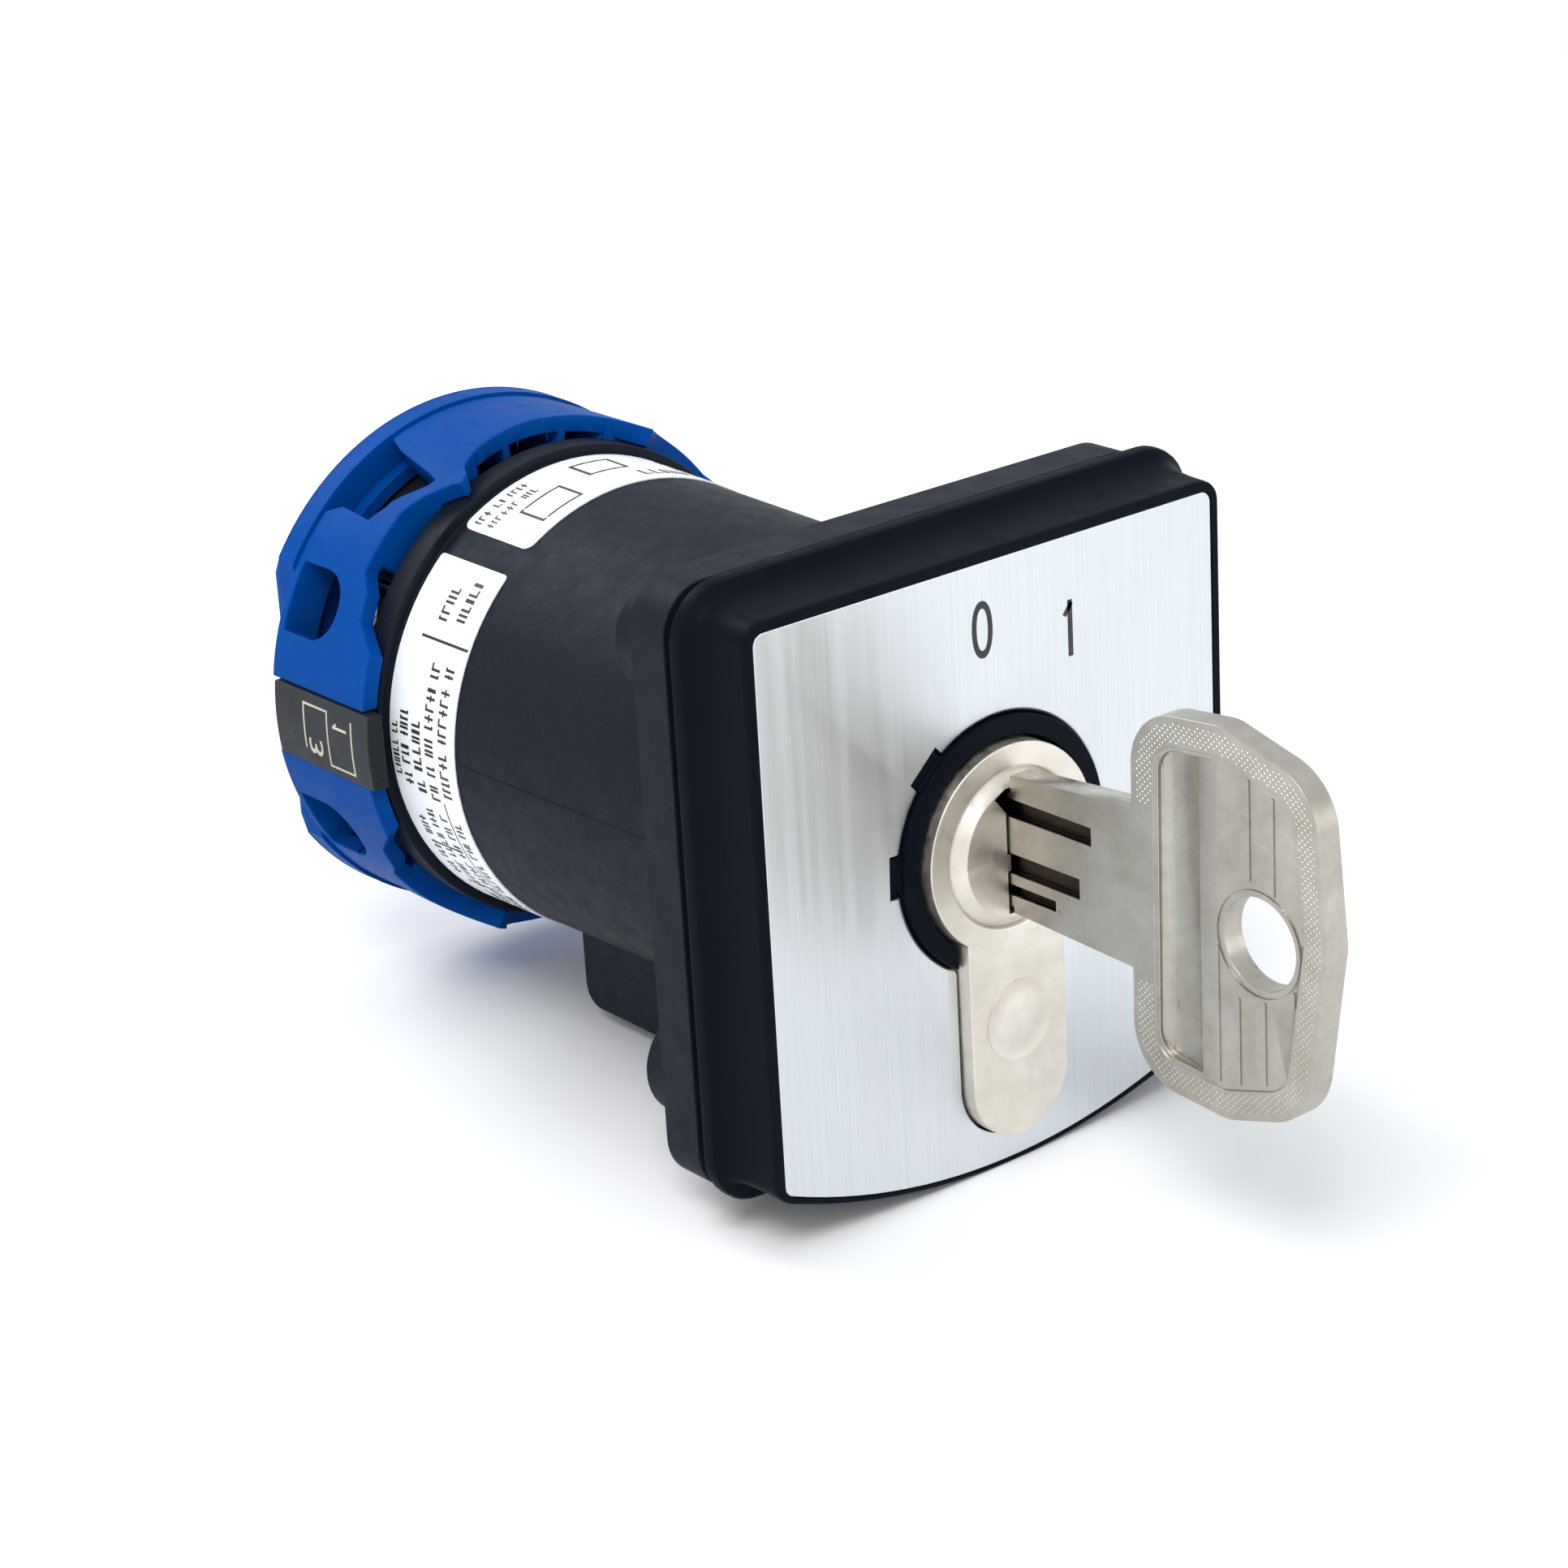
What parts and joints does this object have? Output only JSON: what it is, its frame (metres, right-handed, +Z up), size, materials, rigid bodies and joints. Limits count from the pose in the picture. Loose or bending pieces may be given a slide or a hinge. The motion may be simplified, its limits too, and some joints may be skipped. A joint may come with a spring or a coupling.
{
  "type": "selector key switch",
  "caption": "Key-operated rotary selector switch for panel mounting: half-profile lock cylinder, brushed face plate, black tube housing and blue terminal stage.",
  "frame": {"origin": "on the lock's axis, at the front face of the mounting plate, which seats on the back of the panel; it is the centre of the four panel screws", "axes": "+Y runs from the key into the panel along the lock's axis, +Z is up, +X is right as seen from the front"},
  "size_m": [0.052, 0.107, 0.0532],
  "materials": {
    "plate_metal": "vertically brushed, satin",
    "frame_black": "smooth moulded",
    "housing_black": "fine rough moulded grain",
    "inner_black": "moulded",
    "gasket_rubber": "soft rubber",
    "nickel": "nickel plated brass, handled",
    "zinc_steel": "zinc plated",
    "spring_steel": "drawn wire",
    "pin_brass": "turned",
    "cream_plastic": "moulded",
    "contact_copper": "rolled copper",
    "contact_silver": "silver",
    "blue_plastic": "moulded, satin",
    "label_film": "white printed film"
  },
  "bodies": {
    "housing": {"face_plate": "plate_metal", "front_frame": "frame_black", "frame_screws": "zinc_steel", "panel_gasket": "gasket_rubber", "lock_collar": "frame_black", "lock_housing": "housing_black", "cylinder_body": "nickel", "cylinder_screw": "zinc_steel", "driver_pins": "pin_brass", "pin_springs": "spring_steel", "chamber_plugs": "pin_brass", "latch_housing": "inner_black", "latch_slides": "cream_plastic", "latch_rollers": "zinc_steel", "latch_springs": "spring_steel", "contact_stage": "inner_black", "fixed_contacts": "contact_copper", "fixed_tips": "contact_silver", "clamp_plates": "zinc_steel", "terminal_screws": "zinc_steel", "terminal_cover": "blue_plastic", "rear_plate": "blue_plastic", "through_bolts": "zinc_steel", "bolt_nuts": "zinc_steel", "left_marking_strip": "inner_black", "right_marking_strip": "inner_black", "side_label": "label_film", "top_label": "label_film", "upper_spring": "spring_steel", "lower_spring": "spring_steel"},
    "plug": {"lock_plug": "nickel", "key_pins": "pin_brass", "lock_cam": "zinc_steel", "plug_clip": "spring_steel"},
    "key": {"key": "nickel"},
    "shaft": {"coupling_driver": "cream_plastic", "switch_shaft": "cream_plastic", "star_wheel": "cream_plastic", "cam_disc": "cream_plastic"},
    "upper_contact": {"upper_plunger": "cream_plastic", "upper_bridge": "contact_copper", "upper_tips": "contact_silver"},
    "lower_contact": {"lower_plunger": "cream_plastic", "lower_bridge": "contact_copper", "lower_tips": "contact_silver"}
  },
  "joints": [
    {"name": "key_turn", "type": "hinge", "parent": "housing", "child": "plug", "pos_m": [0, 0, 0], "axis": [0, 1, 0], "range_deg": [0, 30]},
    {"name": "key_withdrawal", "type": "slide", "parent": "plug", "child": "key", "axis": [0, -1, 0], "range_m": [0, 0.03]},
    {"name": "shaft_turn", "type": "hinge", "parent": "housing", "child": "shaft", "pos_m": [0, 0, 0], "axis": [0, 1, 0], "range_deg": [0, 30]},
    {"name": "upper_contact_travel", "type": "slide", "parent": "housing", "child": "upper_contact", "axis": [0, 0, -1], "range_m": [0, 0.002], "deforming": ["upper_spring"]},
    {"name": "lower_contact_travel", "type": "slide", "parent": "housing", "child": "lower_contact", "axis": [0, 0, 1], "range_m": [0, 0.002], "deforming": ["lower_spring"]}
  ],
  "couplings": [
    {"joint": "shaft_turn", "follows": "key_turn", "ratio": 1},
    {"joint": "upper_contact_travel", "follows": "key_turn", "m_per_rad": 0.0038197},
    {"joint": "lower_contact_travel", "follows": "key_turn", "m_per_rad": 0.0038197}
  ]
}
